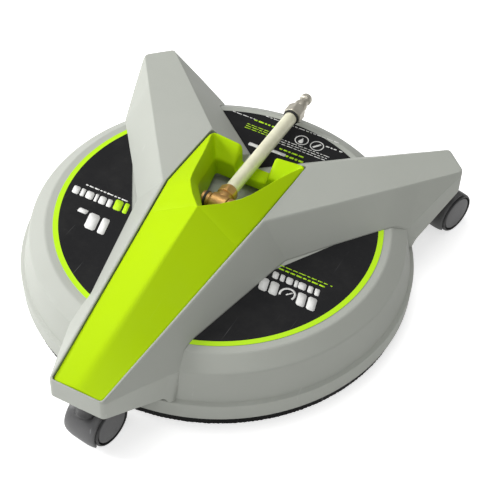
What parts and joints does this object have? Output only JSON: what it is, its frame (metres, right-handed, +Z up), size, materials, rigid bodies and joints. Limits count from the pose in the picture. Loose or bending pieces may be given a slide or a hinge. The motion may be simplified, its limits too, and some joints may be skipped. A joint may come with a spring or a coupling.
{
  "type": "surface cleaner",
  "caption": "Round pressure-washer deck on casters, with a spinning spray bar, brush skirt, nose cover and tilting lance inlet.",
  "frame": {"origin": "middle of the base of the whole machine's bounding box, on the floor", "axes": "+Z up, nose arm towards -Y, lance towards +Y, +X to the right"},
  "size_m": [0.3412, 0.4044, 0.1119],
  "materials": {
    "grey_shell": "fine satin moulded texture",
    "lime_cover": "semi-gloss, moulded",
    "lime_print": "printed vinyl",
    "black_label": "satin vinyl with light print",
    "bristle": "nylon bristle",
    "black_plastic": "satin",
    "seal_rubber": "soft, matt",
    "brass": "machined",
    "lance_steel": "pale plated satin",
    "plug_steel": "turned nickel plate",
    "cast_body": "cast and machined",
    "stainless": "drawn stainless",
    "zinc_steel": "zinc plated",
    "caster_hood": "satin nylon",
    "caster_wheel": "satin nylon"
  },
  "bodies": {
    "deck": {"bearing_circlip": "zinc_steel", "bearing_lower": "zinc_steel", "bearing_spacer": "zinc_steel", "bearing_upper": "zinc_steel", "brush_bristles": "bristle", "brush_channel": "black_plastic", "caster_front_socket": "black_plastic", "caster_rear_left_socket": "black_plastic", "caster_rear_right_socket": "black_plastic", "cover_screws": "zinc_steel", "deck_housing": "grey_shell", "deck_screws": "zinc_steel", "frame_shell": "grey_shell", "inlet_block": "brass", "label_left": "black_label", "label_rear": "black_label", "label_right": "black_label", "lime_stripe_left": "lime_print", "lime_stripe_right": "lime_print", "nose_cover": "lime_cover", "pivot_bolt": "brass", "pivot_washer": "zinc_steel", "pressure_seal": "seal_rubber", "swivel_bolts": "zinc_steel", "swivel_gasket": "seal_rubber", "swivel_housing": "cast_body", "swivel_nuts": "zinc_steel"},
    "rotor": {"rotor_shaft": "stainless", "rotor_hub": "black_plastic", "rotor_bolt": "stainless", "spray_tube_a": "stainless", "spray_tube_b": "stainless", "nozzle_head_a": "black_plastic", "nozzle_head_b": "black_plastic", "nozzle_a": "brass", "nozzle_b": "brass"},
    "lance": {"tilt_elbow": "brass", "lance_tube": "lance_steel", "lance_collar": "seal_rubber", "quick_plug": "plug_steel"},
    "caster_front": {"caster_front_hood": "caster_hood", "caster_front_stem": "zinc_steel", "caster_front_axle": "zinc_steel"},
    "wheel_front_right": {"caster_front_wheel_right": "caster_wheel"},
    "wheel_front_left": {"caster_front_wheel_left": "caster_wheel"},
    "caster_rear_right": {"caster_rear_right_hood": "caster_hood", "caster_rear_right_stem": "zinc_steel", "caster_rear_right_axle": "zinc_steel"},
    "wheel_rear_right_right": {"caster_rear_right_wheel_right": "caster_wheel"},
    "wheel_rear_right_left": {"caster_rear_right_wheel_left": "caster_wheel"},
    "caster_rear_left": {"caster_rear_left_hood": "caster_hood", "caster_rear_left_stem": "zinc_steel", "caster_rear_left_axle": "zinc_steel"},
    "wheel_rear_left_right": {"caster_rear_left_wheel_right": "caster_wheel"},
    "wheel_rear_left_left": {"caster_rear_left_wheel_left": "caster_wheel"}
  },
  "joints": [
    {"name": "rotor_spin", "type": "hinge", "parent": "deck", "child": "rotor", "pos_m": [0, 0.02, 0.019], "axis": [0, 0, 1], "continuous": true},
    {"name": "lance_tilt", "type": "hinge", "parent": "deck", "child": "lance", "pos_m": [0, 0.02, 0.0825], "axis": [1, 0, 0], "range_deg": [0, 100]},
    {"name": "caster_front_swivel", "type": "hinge", "parent": "deck", "child": "caster_front", "pos_m": [0, -0.188, 0.05], "axis": [0, 0, 1], "continuous": true},
    {"name": "wheel_front_right_roll", "type": "hinge", "parent": "caster_front", "child": "wheel_front_right", "pos_m": [0.00146, -0.1776, 0.01905], "axis": [0.9903, -0.1392, 0], "continuous": true},
    {"name": "wheel_front_left_roll", "type": "hinge", "parent": "caster_front", "child": "wheel_front_left", "pos_m": [0.00146, -0.1776, 0.01905], "axis": [0.9903, -0.1392, 0], "continuous": true},
    {"name": "caster_rear_right_swivel", "type": "hinge", "parent": "deck", "child": "caster_rear_right", "pos_m": [0.14475, 0.16937, 0.05], "axis": [0, 0, 1], "continuous": true},
    {"name": "wheel_rear_right_right_roll", "type": "hinge", "parent": "caster_rear_right", "child": "wheel_rear_right_right", "pos_m": [0.14782, 0.17941, 0.01905], "axis": [0.9563, -0.2924, 0], "continuous": true},
    {"name": "wheel_rear_right_left_roll", "type": "hinge", "parent": "caster_rear_right", "child": "wheel_rear_right_left", "pos_m": [0.14782, 0.17941, 0.01905], "axis": [0.9563, -0.2924, 0], "continuous": true},
    {"name": "caster_rear_left_swivel", "type": "hinge", "parent": "deck", "child": "caster_rear_left", "pos_m": [-0.14475, 0.16937, 0.05], "axis": [0, 0, 1], "continuous": true},
    {"name": "wheel_rear_left_right_roll", "type": "hinge", "parent": "caster_rear_left", "child": "wheel_rear_left_right", "pos_m": [-0.14782, 0.17941, 0.01905], "axis": [0.9563, 0.2924, 0], "continuous": true},
    {"name": "wheel_rear_left_left_roll", "type": "hinge", "parent": "caster_rear_left", "child": "wheel_rear_left_left", "pos_m": [-0.14782, 0.17941, 0.01905], "axis": [0.9563, 0.2924, 0], "continuous": true}
  ]
}
